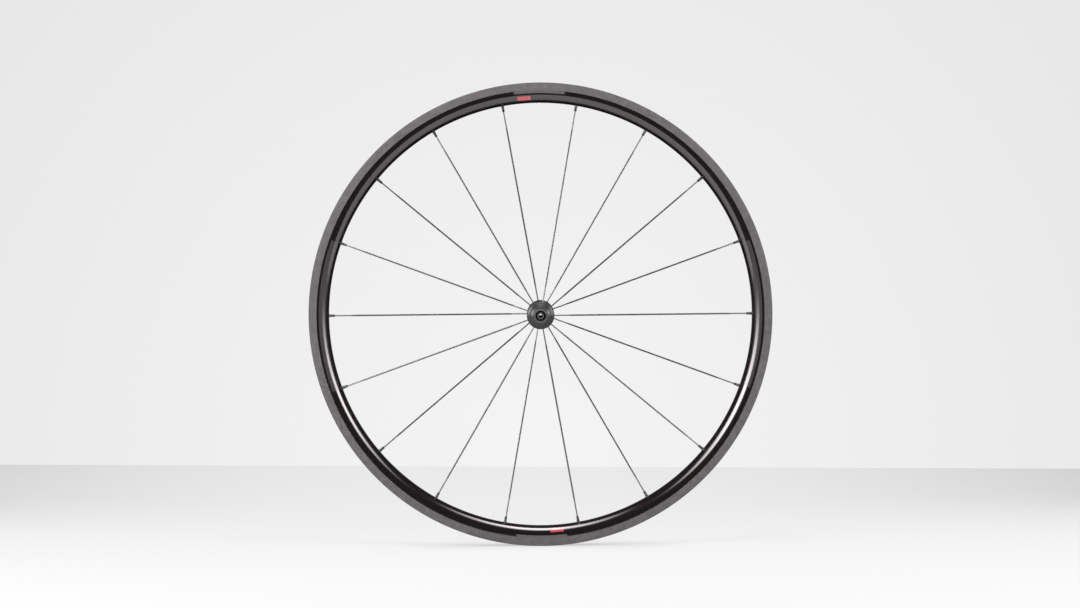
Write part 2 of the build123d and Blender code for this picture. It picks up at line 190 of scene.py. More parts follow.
class WheelCapSizes(PropertyGroup):
    """End caps, as radii and as distances from the wheel's middle plane"""

    contact: length("Contact face", "Distance of a fork end's face from the middle", 50.0)
    contact_radius: length("Contact radius", "Radius of the face that the fork end meets", 10.0)
    face_angle: tilt("Face angle", "Slope of the coned shield", 25)
    recess_radius: length("Recess radius", "Radius of the recess round the stub", 7.1)
    recess_inner: length("Recess inner radius", "Radius of the stub's root in the recess", 4.2)
    recess_depth: length("Recess depth", "Depth of the recess round the stub", 1.5)
    shield_radius: length("Shield radius", "Radius of the shield over the bearing", 13.8)
    shield_inner: length("Shield face", "Distance of the shield's inner face from the middle", 44.6)
    spacer_radius: length("Spacer radius", "Radius of the spacer on the bearing's inner ring", 9.03)
    spacer_inner: length("Spacer face", "Distance of the spacer's face from the middle", 43.5)
    stub_radius: length("Stub radius", "Radius of the stub in the fork end's slot", 4.5)
    stub_chamfer: length("Stub chamfer", "Chamfer on the stub's end", 0.5)
    plug_radius: length("Plug radius", "Radius of the plug in the axle", 5.48)
    plug_end: length("Plug end", "Distance of the plug's end from the middle", 35.5)
    bore_radius: length("Bore radius", "Radius of the bore for the skewer", 2.75)
    groove_radius: length("Groove radius", "Radius at the floor of the sealing groove", 4.38)
    groove_middle: length("Groove middle", "Distance of the sealing groove from the middle", 39.5)
    groove_width: length("Groove width", "Width of the sealing groove", 1.2)
    edge: length("Edge", "Small round on the edges of the shield and of the bore", 0.25)
    contact_edge: length("Contact edge", "Small round on the edge of the contact face", 0.15)
    serrations: count("Serrations", "Teeth on each contact face", 36)
    serration_depth: length("Serration depth", "Height of the teeth on each contact face", 0.16)
    serration_rows: count("Serration rows", "Steps across the teeth", 4)
    steps_per_tooth: count("Steps per tooth", "Steps round an end cap for each tooth", 8)


class WheelMarks(PropertyGroup):
    """Plain stripes, matte patches and small bars on the rim's lacquered sides"""

    stripe_inner: length("Stripe inner edge", "Radius of the stripes' inner edge", 293.0)
    stripe_outer: length("Stripe outer edge", "Radius of the stripes' outer edge", 302.6)
    stripe_right: tilt("Right stripe", "How far the right stripe reaches above and below the axle", 19.5)
    stripe_left: tilt("Left stripe", "How far the left stripe reaches above and below the axle", 20)
    patch_inner: length("Patch inner edge", "Radius of the patches' inner edge", 302.1)
    patch_outer: length("Patch outer edge", "Radius of the patches' outer edge", 310.0)
    patch_reach: tilt("Patch reach", "How far the top and bottom patches reach to each side", 6.5)
    bar_inner: length("Bar inner edge", "Radius of the bars' inner edge", 293.0)
    bar_outer: length("Bar outer edge", "Radius of the bars' outer edge", 298.2)
    bar_start: tilt("Bar start", "Angle round the axle at which a bar starts", 92.3)
    bar_end: tilt("Bar end", "Angle round the axle at which a bar ends", 95.8)


class WheelFinish(PropertyGroup):
    """Colours of the wheel's surfaces, as they would look in plain white light, but for the cap recess, whose
    near black is painted shade
    """

    lacquer: colour("Lacquer", "Clear-coated black of the rim's sides", 0.0062, 0.0040, 0.0042)
    track: colour("Brake track", "Matte grey of the brake tracks", 0.1025, 0.094, 0.095)
    well: colour("Well", "Bare laminate inside the lips", 0.018, 0.018, 0.019)
    stripe: colour("Stripe", "Tone of the plain stripes on the rim", 0.050, 0.047, 0.048)
    accent: colour("Accent", "Small coloured bars on the rim", 0.51, 0.058, 0.072)
    tape: colour("Rim tape", "Woven tape in the well", 0.035, 0.036, 0.040)
    spoke: colour("Spoke", "Black coating of the spokes", 0.19, 0.19, 0.195)
    nipple: colour("Nipple", "Black anodising of the nipples", 0.135, 0.135, 0.138)
    hub: colour("Hub", "Satin black anodising of the hub", 0.028, 0.0275, 0.0285)
    cap: colour("End caps", "Satin black anodising of the end caps", 0.028, 0.028, 0.029)
    teeth: colour("Cap teeth", "Rubbed anodising of the toothed faces and the stubs", 0.084, 0.083, 0.085)
    # Painted shade: the recesses round the stubs are coloured near black for the shade that falls in them
    recess: colour("Cap recess", "Black of the recesses round the stubs", 0.006, 0.006, 0.006)
    alloy: colour("Axle", "Machined aluminium", 0.60, 0.60, 0.61)
    steel: colour("Steel", "Ground bearing steel", 0.55, 0.54, 0.53)
    nylon: colour("Cage", "Moulded nylon", 0.62, 0.57, 0.46)
    rubber: colour("Rubber", "Seals and O-rings", 0.018, 0.018, 0.019)


class WheelStage(PropertyGroup):
    """Camera, floor and background"""

    distance: length("Distance", "Camera to the wheel's middle", 4000)
    height: length("Height", "Camera above the axle", 150)
    offset: length("Offset", "Camera to the side of the axle", -12)
    aim: length("Aim", "How far beside the axle the camera points", -0.64)
    pitch: tilt("Pitch", "Camera's tilt down", 1.942)
    roll: tilt("Roll", "Camera's turn about its view", 0.33)
    lens: FloatProperty(
        name="Lens", description="Focal length in millimetres", default=97.48, subtype="DISTANCE_CAMERA"
    )
    floor_near: length("Floor front", "Front edge of the floor", -950)
    floor_far: length("Floor back", "Back edge of the floor", 1200)
    floor_half: length("Floor half width", "Half the floor's width", 1600)
    floor_skew: number("Floor skew", "Slope of the floor's back edge across the picture", -0.109)
    front_level: number("Front level", "Brightness of the floor in front of the wheel", 0.976)
    back_level: number("Back level", "Brightness of the floor behind the wheel", 0.927)
    paper: number("Paper", "Tone of the floor's paper in the lamps' light", 0.60)
    wall_level: number("Wall level", "Brightness of the wall behind the wheel", 0.905)
    wall_edge: number("Wall edge", "Brightness of the wall towards the picture's corners", 0.797)
    ambient: number("Ambient", "Even light from the front and the sides", 0.2)
    backdrop: number("Backdrop", "Light that the pale wall sends to the wheel's far side", 1.2)
    room: number("Room", "Dim room that glossy surfaces mirror between the lamps", 0.05)


# Node trees


def underscored(label):
    """An input's name in the form of a property's name."""
    return label.lower().replace(" ", "_")


class Nodes:
    """A node tree with short ways to add nodes, whose inputs are values or outputs of other nodes"""

    def __init__(self, tree):
        self.tree = tree

    def feed(self, socket, value):
        """Gives a socket a value or a link."""
        if isinstance(value, NodeSocket):
            self.tree.links.new(value, socket)
        else:
            socket.default_value = value

    def add(self, kind, inputs=None, **settings):
        """A new node with its own settings and its inputs."""
        made = self.tree.nodes.new(kind)
        for name, value in settings.items():
            setattr(made, name, value)
        for key, value in (inputs or {}).items():
            self.feed(made.inputs[key], value)
        return made

    def out(self, kind, inputs=None, **settings):
        """First output of a new node."""
        return self.add(kind, inputs, **settings).outputs[0]

    def calc(self, operation, *values):
        """Result of a Math node."""
        return self.out("ShaderNodeMath", dict(enumerate(values)), operation=operation)

    def plus(self, first, second):
        """A sum."""
        return self.calc("ADD", first, second)

    def minus(self, first, second):
        """A difference."""
        return self.calc("SUBTRACT", first, second)

    def times(self, product, *others):
        """A product of two or more values."""
        for other in others:
            product = self.calc("MULTIPLY", product, other)
        return product

    def weighted(self, *pairs):
        """A sum of values, each times its weight."""
        total = 0.0
        for value, weight in reversed(pairs):
            total = self.calc("MULTIPLY_ADD", value, weight, total)
        return total

    def wave(self, value, rate):
        """Sine of a value times a rate."""
        return self.calc("SINE", self.times(value, rate))

    def ramp(self, value, low, high, start=0.0, end=1.0, kind="SMOOTHSTEP"):
        """A step from start to end as a value goes from low to high."""
        limits = {"Value": value, "From Min": low, "From Max": high, "To Min": start, "To Max": end}
        return self.out("ShaderNodeMapRange", limits, interpolation_type=kind)

    def band(self, value, low, high, edge):
        """One between two limits and zero outside, with soft edges."""
        rise = self.ramp(value, low - edge, low + edge)
        return self.times(rise, self.ramp(value, high - edge, high + edge, 1.0, 0.0))

    def vector(self, x, y, z):
        """A vector from its three parts."""
        return self.out("ShaderNodeCombineXYZ", {"X": x, "Y": y, "Z": z})

    def split(self, value):
        """The three parts of a vector."""
        return self.add("ShaderNodeSeparateXYZ", {0: value}).outputs

    def polar(self, position):
        """Distance from the axle, angle round it and distance along it of a position."""
        x, y, z = self.split(position)
        flat = self.add("ShaderNodeVectorMath", {0: self.vector(x, 0, z)}, operation="LENGTH")
        return flat.outputs["Value"], self.calc("ARCTAN2", z, x), y

    def blend(self, share, first, second):
        """A mix of two shaders."""
        return self.out("ShaderNodeMixShader", {0: share, 1: first, 2: second})


GEOMETRY = "NodeSocketGeometry"
NUMBER = "NodeSocketFloat"
WHOLE = "NodeSocketInt"
MATERIAL = "NodeSocketMaterial"
TURNED = {"Geometry": GEOMETRY, "Segments": WHOLE, "Radius": NUMBER}
PLACES = {"Count": WHOLE, "Seat radius": NUMBER, "Flange offset": NUMBER, "Rim nose": NUMBER}


class GeometryTree(Nodes):
    """A geometry tree with named inputs"""

    def __init__(self, name, inputs, outputs=None):
        super().__init__(bpy.data.node_groups.new(name, "GeometryNodeTree"))
        for direction, sockets in (("INPUT", inputs), ("OUTPUT", outputs or {"Geometry": GEOMETRY})):
            for label, kind in sockets.items():
                self.tree.interface.new_socket(label, in_out=direction, socket_type=kind)
        self.given = self.tree.nodes.new("NodeGroupInput").outputs
        self.result = self.tree.nodes.new("NodeGroupOutput").inputs

    def group(self, name, **changes):
        """Outputs of another tree, fed by this tree's inputs of the same names, or by changes to them."""
        made = self.add("GeometryNodeGroup", node_tree=bpy.data.node_groups[name])
        for socket in made.inputs:
            key = underscored(socket.name)
            self.feed(socket, changes[key] if key in changes else self.given[socket.name])
        return made.outputs

    def points(self):
        """Distance from the axle, angle round it and distance along it of the geometry's points."""
        return self.polar(self.out("GeometryNodeInputPosition"))

    def moved(self, geometry, translation):
        """A moved geometry."""
        return self.out("GeometryNodeTransform", {"Geometry": geometry, "Translation": translation})

    def cylinder(self, diameter, low, high, vertices=48):
        """A cylinder along Z between two heights."""
        size = {"Radius": self.times(diameter, 0.5), "Depth": self.minus(high, low), "Vertices": vertices}
        middle = self.times(self.plus(high, low), 0.5)
        return self.moved(self.out("GeometryNodeMeshCylinder", size), self.vector(0, 0, middle))

    def at_places(self, places, piece):
        """Real copies of a piece at every place."""
        inputs = {"Points": places["Points"], "Instance": piece, "Rotation": places["Rotation"]}
        copies = self.out("GeometryNodeInstanceOnPoints", inputs)
        return self.out("GeometryNodeRealizeInstances", {"Geometry": copies})

    def cut(self, body, *cutters):
        """A body with every cutter taken away from it."""
        solver = {"operation": "DIFFERENCE", "solver": "MANIFOLD"}
        made = self.add("GeometryNodeMeshBoolean", {"Mesh 1": body}, **solver)
        for cutter in cutters:
            self.tree.links.new(cutter, made.inputs["Mesh 2"])
        return made.outputs[0]

    def finish(self, geometry, *materials):
        """Ends the tree: instances made real, then each named material on the faces selected for it."""
        geometry = self.out("GeometryNodeRealizeInstances", {"Geometry": geometry})
        for name, selection in materials:
            inputs = {"Geometry": geometry, "Selection": selection, "Material": self.given[name]}
            geometry = self.out("GeometryNodeSetMaterial", inputs)
        self.tree.links.new(geometry, self.result["Geometry"])


def named(kind, *names):
    """Inputs of one kind for a geometry tree."""
    return dict.fromkeys(names, kind)


def make_spoke_places_tree():
    """Points at the spoke seats, and the turn that lays Z along each spoke and X along the rim."""
    tree = GeometryTree("Spoke places", PLACES, {"Points": GEOMETRY, "Rotation": "NodeSocketRotation"})
    spokes, seat_radius, flange_offset, nose = (tree.given[name] for name in PLACES)
    index = tree.out("GeometryNodeInputIndex")
    angle = tree.times(index, tree.calc("DIVIDE", 2 * pi, spokes))
    side = tree.calc("MULTIPLY_ADD", tree.calc("MODULO", index, 2), 2, -1)
    across, up = tree.calc("COSINE", angle), tree.calc("SINE", angle)
    lean = tree.calc("ARCTAN2", flange_offset, tree.minus(nose, seat_radius))
    out, sideways = tree.calc("COSINE", lean), tree.calc("SINE", lean)
    seat = [tree.times(seat_radius, across), tree.times(flange_offset, side), tree.times(seat_radius, up)]
    along = [tree.times(out, across), tree.times(sideways, side, -1), tree.times(out, up)]
    tangent = [tree.times(side, -1, up), 0, tree.times(side, across)]
    axes = {"Primary Axis": tree.vector(*along), "Secondary Axis": tree.vector(*tangent)}
    turn = tree.out("FunctionNodeAxesToRotation", axes, primary_axis="Z", secondary_axis="X")
    points = tree.out("GeometryNodePoints", {"Count": spokes, "Position": tree.vector(*seat)})
    tree.feed(tree.result["Points"], points)
    tree.feed(tree.result["Rotation"], turn)


def make_turned_tree():
    """Sweeps a closed outline, with X as radius and Y along the axle, once round the axle."""
    tree = GeometryTree("Turned round the axle", TURNED)
    radius = tree.given["Radius"]
    moved = tree.moved(tree.given["Geometry"], tree.vector(tree.times(radius, -1), 0, 0))
    outline = tree.out("GeometryNodeMeshToCurve", {"Mesh": moved})
    circle = {"Resolution": tree.given["Segments"], "Radius": radius}
    path = tree.out("GeometryNodeCurvePrimitiveCircle", circle, mode="RADIUS")
    swept = tree.out("GeometryNodeCurveToMesh", {"Curve": path, "Profile Curve": outline})
    turned = tree.out("GeometryNodeTransform", {"Geometry": swept, "Rotation": (pi / 2, 0, 0)})
    tree.feed(tree.result["Geometry"], turned)


def make_rim_tree():
    """The rim: its section swept round the axle, with holes for the nipples, the key and the valve."""
    tree = GeometryTree(
        "Rim with its holes",
        TURNED
        | PLACES
        | named(NUMBER, "Nipple hole", "Access hole", "Valve hole")
        | named(NUMBER, "Track radius", "Track half width", "Inside half width")
        | named(MATERIAL, "Lacquer", "Track", "Well"),
    )
    given = tree.given
    rim, nose = given["Radius"], given["Rim nose"]
    nipple, access, valve = given["Nipple hole"], given["Access hole"], given["Valve hole"]
    run = tree.minus(nose, given["Seat radius"])
    squares = tree.plus(tree.calc("POWER", run, 2), tree.calc("POWER", given["Flange offset"], 2))
    span = tree.calc("SQRT", squares)
    nipple_hole = tree.cylinder(nipple, tree.minus(span, nipple), tree.plus(span, nipple))
    access_hole = tree.cylinder(access, tree.times(tree.plus(nose, rim), 0.5), rim)
    valve_hole = tree.cylinder(valve, tree.minus(nose, valve), rim)
    drilled = tree.cut(
        tree.group("Turned round the axle")[0],
        tree.at_places(tree.group("Spoke places"), nipple_hole),
        tree.at_places(tree.group("Spoke places", seat_radius=0.0, flange_offset=0.0), access_hole),
        valve_hole,
    )
    radius, _, along = tree.points()
    offset = tree.calc("ABSOLUTE", along)
    outside = tree.calc("GREATER_THAN", radius, given["Track radius"])
    on_track = tree.times(outside, tree.calc("GREATER_THAN", offset, given["Track half width"]))
    in_well = tree.times(outside, tree.calc("LESS_THAN", offset, given["Inside half width"]))
    tree.finish(drilled, ("Lacquer", True), ("Track", on_track), ("Well", in_well))


def make_tape_tree():
    """The rim tape: its section swept round the axle, pierced for the valve."""
    tree = GeometryTree("Rim tape", TURNED | {"Valve hole": NUMBER, "Material": MATERIAL})
    valve_hole = tree.cylinder(tree.given["Valve hole"], 0, tree.times(tree.given["Radius"], 2))
    tree.finish(tree.cut(tree.group("Turned round the axle")[0], valve_hole), ("Material", True))


def make_copies_tree():
    """One piece along Z, copied to every spoke."""
    tree = GeometryTree("One at every spoke", {"Geometry": GEOMETRY, **PLACES, "Material": MATERIAL})
    tree.finish(tree.at_places(tree.group("Spoke places"), tree.given["Geometry"]), ("Material", True))


def slot_cutters(tree, places, width, reach, low, high):
    """Slots with a round floor, open towards the wheel's middle plane, at every spoke's seat."""
    size = tree.vector(tree.minus(width, SLOT_RELIEF), reach, tree.minus(high, low))
    middle = tree.times(tree.plus(high, low), 0.5)
    block = tree.out("GeometryNodeMeshCube", {"Size": size})
    block = tree.moved(block, tree.vector(0, tree.times(reach, 0.5), middle))
    floor = tree.cylinder(width, low, high, vertices=32)
    return [tree.at_places(places, piece) for piece in (block, floor)]


def make_hub_tree():
    """The hub body: turned, then milled with a socket for every spoke."""
    sizes = named(NUMBER, "Flange width", "Head width", "Head depth", "Shank width")
    tree = GeometryTree("Hub body", TURNED | PLACES | sizes | {"Material": MATERIAL})
    width, head_width, head_depth, shank_width = (tree.given[name] for name in sizes)
    places = tree.group("Spoke places")
    floor = tree.times(head_depth, -1)
    heads = slot_cutters(tree, places, head_width, width, floor, 0)
    shanks = slot_cutters(tree, places, shank_width, width, tree.times(floor, 0.5), width)
    milled = tree.cut(tree.group("Turned round the axle")[0], *heads, *shanks)
    tree.finish(milled, ("Material", True))


def make_cap_tree():
    """An end cap: turned, with radial teeth pressed into the face that the fork end meets."""
    tree = GeometryTree(
        "End cap",
        TURNED
        | named(NUMBER, "Contact inner", "Contact outer", "Contact face", "Serration depth", "Stub end")
        | named(NUMBER, "Recess centre", "Recess half width", "Recess level", "Recess half depth")
        | {"Serrations": WHOLE}
        | named(MATERIAL, "Material", "Teeth", "Recess"),
    )
    given = tree.given
    radius, angle, along = tree.points()
    offset = tree.calc("ABSOLUTE", along)
    tooth = tree.calc("ABSOLUTE", tree.wave(angle, tree.times(given["Serrations"], 0.5)))
    sunk = tree.times(tooth, given["Serration depth"], tree.calc("SIGN", along), -1)
    on_ring = tree.times(
        tree.calc("GREATER_THAN", radius, given["Contact inner"]),
        tree.calc("LESS_THAN", radius, given["Contact outer"]),
    )
    on_face = tree.calc("COMPARE", offset, given["Contact face"], FACE_TOLERANCE)
    pressed = {
        "Geometry": tree.group("Turned round the axle")[0],
        "Selection": tree.times(on_face, on_ring),
        "Offset": tree.vector(0, sunk, 0),
    }
    near_face = tree.calc("COMPARE", offset, given["Contact face"], given["Serration depth"])
    on_stub_end = tree.calc("COMPARE", offset, given["Stub end"], FACE_TOLERANCE)
    # Faces in the recess, which get the near-black painted shade
    in_recess = tree.times(
        tree.calc("COMPARE", radius, given["Recess centre"], given["Recess half width"]),
        tree.calc("COMPARE", offset, given["Recess level"], given["Recess half depth"]),
    )
    tree.finish(
        tree.out("GeometryNodeSetPosition", pressed),
        ("Material", True),
        ("Teeth", tree.calc("MAXIMUM", tree.times(near_face, on_ring), on_stub_end)),
        ("Recess", in_recess),
    )


def make_trees():
    """Builds every geometry tree once, those that others use first."""
    make_spoke_places_tree()
    make_turned_tree()
    make_rim_tree()
    make_tape_tree()
    make_copies_tree()
    make_hub_tree()
    make_cap_tree()


# Outlines and meshes


def arc(centre, radius, start, end, steps):
    """Points of an arc in an outline, as (radius, along) pairs, between two angles."""
    angles = (start + (end - start) * step / steps for step in range(steps + 1))
    return [(centre[0] + radius * cos(angle), centre[1] + radius * sin(angle)) for angle in angles]


def rounded(corner, before, after, radius, steps=4):
    """Points that round a corner of an outline between its two neighbours."""
    corner, before, after = Vector(corner), Vector(before), Vector(after)
    start = corner + (before - corner).normalized() * radius
    end = corner + (after - corner).normalized() * radius
    shares = (step / steps for step in range(steps + 1))
    return [tuple(start * (1 - t) ** 2 + corner * 2 * t * (1 - t) + end * t**2) for t in shares]


def flank(nose, track, half_width, nose_round, step=radians(3)):
    """Points from the nose to a side that ends upright at the track: a nose arc and a tangent side arc."""
    rise = track - nose - nose_round
    side_round = (half_width**2 + rise**2 - nose_round**2) / (2 * (half_width - nose_round))
    joint = atan2(side_round - half_width, rise)
    side_steps = round((pi / 2 - joint) / step)
    nose_arc = arc((nose + nose_round, 0.0), nose_round, pi, pi - joint, round(joint / step))
    side_arc = arc((track, half_width - side_round), side_round, pi - joint, pi / 2, side_steps)
    return nose_arc + side_arc[1:]


def bed_corners(sizes):
    """Corners of half the rim's bed: bead seat, inner edge of the shelf, foot and middle of the well."""
    seat = (RIM_RADIUS - sizes.bead_drop, RIM_HALF_WIDTH - sizes.lip_width)
    shelf = (seat[0] - sizes.shelf_drop, seat[1] - sizes.shelf_width)
    well = (shelf[0] - sizes.well_depth, shelf[1] - sizes.well_slope)
    return [seat, shelf, well, (well[0], 0.0)]


def mirrored(half):
    """A closed outline from the half on the positive side, which starts and ends on the middle plane."""
    return half + [(radius, -along) for radius, along in reversed(half[1:-1])]


def mesh_object(name, shape):
    """Turns a bmesh into an object in the scene."""
    mesh = bpy.data.meshes.new(name)
    shape.to_mesh(mesh)
    shape.free()
    made = bpy.data.objects.new(name, mesh)
    bpy.context.scene.collection.objects.link(made)
    return made


def outline_object(name, *loops):
    """An object whose mesh is one or more closed outlines, with X as radius and Y along the axle."""
    shape = bmesh.new()
    for loop in loops:
        corners = [shape.verts.new((radius, along, 0)) for radius, along in loop]
        for first, second in zip(corners, corners[1:] + corners[:1]):
            shape.edges.new((first, second))
    return mesh_object(name, shape)


def lofted_object(name, rings, closed=False):
    """An object whose mesh joins rings of points in order; a closed one joins the last ring to the first."""
    shape = bmesh.new()
    rows = [[shape.verts.new(point) for point in ring] for ring in rings]
    for lower, upper in zip(rows, rows[1:] + rows[:1] if closed else rows[1:]):
        for first in range(len(lower)):
            second = (first + 1) % len(lower)
            shape.faces.new((lower[first], lower[second], upper[second], upper[first]))
    if not closed:
        shape.faces.new(list(reversed(rows[0])))
        shape.faces.new(rows[-1])
    return mesh_object(name, shape)


def run_tree(piece, name, *sizes, **values):
    """Runs a geometry tree on a piece and keeps its result as the piece's own plain mesh.

    An input takes the value given under its name, or the size of that name.
    """
    tree = bpy.data.node_groups[name]
    modifier = piece.modifiers.new(name, "NODES")
    modifier.node_group = tree
    for item in tree.interface.items_tree:
        if item.in_out == "INPUT" and item.socket_type != GEOMETRY:
            key = underscored(item.name)
            if key not in values:
                values[key] = next(getattr(group, key) for group in sizes if hasattr(group, key))
            modifier[item.identifier] = values[key]
    evaluated = piece.evaluated_get(bpy.context.evaluated_depsgraph_get())
    mesh = bpy.data.meshes.new_from_object(evaluated)
    if not mesh.polygons:
        raise RuntimeError(f"{name} made no faces for {piece.name}")
    piece.modifiers.remove(modifier)
    outline = piece.data
    piece.data = mesh
    mesh.name = piece.name
    bpy.data.meshes.remove(outline)
    for index in reversed(range(len(mesh.materials))):
        if mesh.materials[index] is None:
            mesh.materials.pop(index=index)


def shade(piece, sharp_angle=radians(32)):
    """Smooth shading with edges kept sharp where two faces meet at a steep angle."""
    shape = bmesh.new()
    shape.from_mesh(piece.data)
    for face in shape.faces:
        face.smooth = True
    for edge in shape.edges:
        edge.smooth = edge.calc_face_angle(0) < sharp_angle
    shape.to_mesh(piece.data)
    shape.free()


def settle(piece, body, slot, *nodes):
    """Shades a piece, puts it on its body and hides the CAD nodes that it stands for; the slot is not used.
    """
    shade(piece)
    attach(piece, body)
    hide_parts(*nodes)


def nose_radius():
    """Radius of the rim's nose."""
    return RIM_RADIUS - bpy.context.scene.wheel_rim.depth


def spoke_span():
    """Length of a spoke from its seat to the rim's nose."""
    sizes = bpy.context.scene.wheel_spokes
    return hypot(nose_radius() - sizes.seat_radius, sizes.flange_offset)


# Materials


def rgba(value):
    """A colour with full alpha."""
    return (*value, 1.0)


class Surface(Nodes):
    """A material with one Principled shader, on Object coordinates"""

    def __init__(self, name, **values):
        self.material = bpy.data.materials.new(name)
        self.material.use_nodes = True
        super().__init__(self.material.node_tree)
        self.position = self.add("ShaderNodeTexCoord").outputs["Object"]
        self.give(**values)

    def give(self, **values):
        """Gives the shader's inputs values or links, with underscores for the spaces in their names."""
        inputs = self.tree.nodes["Principled BSDF"].inputs
        for key, value in values.items():
            self.feed(inputs[key.replace("_", " ")], value)

    def mix(self, share, first, second):
        """A mix of two colours."""
        colours = {"Factor": share, "A": first, "B": second}
        return self.add("ShaderNodeMix", colours, data_type="RGBA").outputs["Result"]

    def vary(self, base, amount, value):
        """A colour made darker and lighter by a value between zero and one."""
        darker = rgba(part * (1 - amount) for part in base)
        lighter = rgba(part * (1 + amount) for part in base)
        return self.mix(value, darker, lighter)

    def noise(self, scale, detail=3.0, roughness=0.5, at=None):
        """Value of a noise texture on the surface, or at another vector."""
        place = self.position if at is None else at
        inputs = {"Vector": place, "Scale": scale, "Detail": detail, "Roughness": roughness}
        return self.out("ShaderNodeTexNoise", inputs)

    def bump(self, height, strength, distance, socket="Normal"):
        """Feeds a height into the shader's normal."""
        inputs = {"Height": height, "Strength": strength, "Distance": distance}
        self.give(**{socket: self.out("ShaderNodeBump", inputs)})


def lacquer_material(finish, marks):
    """Clear-coated black with plain stripes, matte patches beside the track and small bars."""
    refraction = 1.65
    surface = Surface("rim_lacquer", IOR=refraction, Coat_IOR=refraction, Coat_Roughness=0.035)
    surface.give(Specular_Tint=(1.0, 0.87, 0.88, 1.0))
    radius, angle, _ = surface.polar(surface.position)
    from_level = surface.calc("ABSOLUTE", angle)
    base = surface.vary(finish.lacquer, amount=0.35, value=surface.noise(scale=900.0))

    edge = radians(0.1)
    left_start = pi - marks.stripe_left
    right = surface.ramp(from_level, marks.stripe_right - edge, marks.stripe_right + edge, 1.0, 0.0)
    left = surface.ramp(from_level, left_start - edge, left_start + edge)
    ring = surface.band(radius, marks.stripe_inner, marks.stripe_outer, edge=0.25 * MM)
    stripe = surface.times(ring, surface.plus(right, left))
    base = surface.mix(stripe, base, rgba(finish.stripe))

    edge = radians(0.5)
    from_upright = surface.calc("ABSOLUTE", surface.minus(from_level, pi / 2))
    near = surface.ramp(from_upright, marks.patch_reach - edge, marks.patch_reach + edge, 1.0, 0.0)
    ring = surface.band(radius, marks.patch_inner, marks.patch_outer, edge=0.2 * MM)
    patch = surface.times(ring, near)
    base = surface.mix(patch, base, rgba(part * 0.8 for part in finish.track))

    half_turn = surface.calc("FLOORED_MODULO", angle, pi)
    ring = surface.band(radius, marks.bar_inner, marks.bar_outer, edge=0.2 * MM)
    bar = surface.times(ring, surface.band(half_turn, marks.bar_start, marks.bar_end, edge=radians(0.06)))
    base = surface.mix(bar, base, rgba(finish.accent))

    roughness = surface.ramp(patch, 0, 1, start=0.16, end=0.6)
    satin = surface.calc("MAXIMUM", patch, surface.times(stripe, 0.3))
    surface.give(Base_Color=base, Roughness=roughness, Coat_Weight=surface.minus(1.0, satin))
    ripple = surface.noise(scale=260.0, detail=1.0)
    surface.bump(ripple, strength=0.02, distance=0.2 * MM, socket="Coat_Normal")
    return surface.material


def track_material(finish):
    """Matte grey brake track with fine rings left by its finishing."""
    surface = Surface("brake_track", Roughness=0.62, IOR=1.5)
    radius, angle, _ = surface.polar(surface.position)
    # Noise that is fine across the track and drawn out along it looks like rings
    drawn_out = surface.vector(surface.times(radius, 2600.0), surface.times(angle, 3.0), 0)
    rings = surface.noise(scale=1.0, at=drawn_out)
    mottle = surface.ramp(surface.noise(scale=190.0, roughness=0.6), 0.3, 0.7)
    wear = surface.noise(scale=14.0, detail=2.0)
    mixed = surface.weighted((rings, 0.4), (mottle, 0.4), (wear, 0.2))
    surface.give(Base_Color=surface.vary(finish.track, amount=0.4, value=mixed))
    surface.bump(mixed, strength=0.25, distance=0.1 * MM)
    return surface.material


def well_material(finish):
    """Bare woven laminate inside the lips and in the well."""
    surface = Surface("rim_well", Roughness=0.45, IOR=1.5)
    _, angle, along = surface.polar(surface.position)
    round_rim = surface.times(angle, RIM_RADIUS / MM)
    across = surface.times(along, 1 / MM)
    warp = surface.wave(surface.plus(round_rim, across), pi / 2)
    weft = surface.wave(surface.minus(round_rim, across), pi / 2)
    twill = surface.ramp(surface.times(warp, weft), -0.5, 0.5)
    surface.give(Base_Color=surface.vary(finish.well, amount=0.5, value=twill))
    surface.bump(twill, strength=0.2, distance=0.08 * MM)
    return surface.material


def tape_material(finish):
    """Woven tape: fine threads along and across it."""
    surface = Surface("rim_tape_weave", Roughness=0.55, IOR=1.5)
    _, angle, along = surface.polar(surface.position)
    thread, tape_radius = 0.9 * MM, 310 * MM
    threads_along = surface.wave(along, 2 * pi / thread)
    threads_across = surface.wave(angle, pi * tape_radius / thread)
    weave = surface.ramp(surface.times(threads_along, threads_across), -0.7, 0.7)
    mixed = surface.weighted((weave, 0.7), (surface.noise(scale=1500.0), 0.3))
    surface.give(Base_Color=surface.vary(finish.tape, amount=0.4, value=mixed))
    surface.bump(mixed, strength=0.4, distance=0.1 * MM)
    return surface.material


def coated_material(name, base, roughness, ends=None):
    """Satin black coating on metal with a fine grain, with painted sheen: a little lighter beyond the two
    radii of any ends.
    """
    surface = Surface(name, Metallic=1.0)
    grain = surface.noise(scale=700.0, detail=4.0, roughness=0.6)
    tone = surface.vary(base, amount=0.3, value=grain)
    if ends:
        # Painted sheen: the round ends get a lighter tone that stands in for the highlights they catch
        painted_sheen_tone = surface.vary([part * 1.3 for part in base], amount=0.3, value=grain)
        middle = surface.band(surface.polar(surface.position)[0], *ends, edge=3.0 * MM)
        tone = surface.mix(middle, painted_sheen_tone, tone)
    patchy = surface.noise(scale=60.0, detail=2.0)
    uneven = surface.ramp(patchy, 0.2, 0.8, roughness * 0.85, roughness * 1.15)
    surface.give(Base_Color=tone, Roughness=uneven)
    surface.bump(grain, strength=0.08, distance=0.05 * MM)
    return surface.material


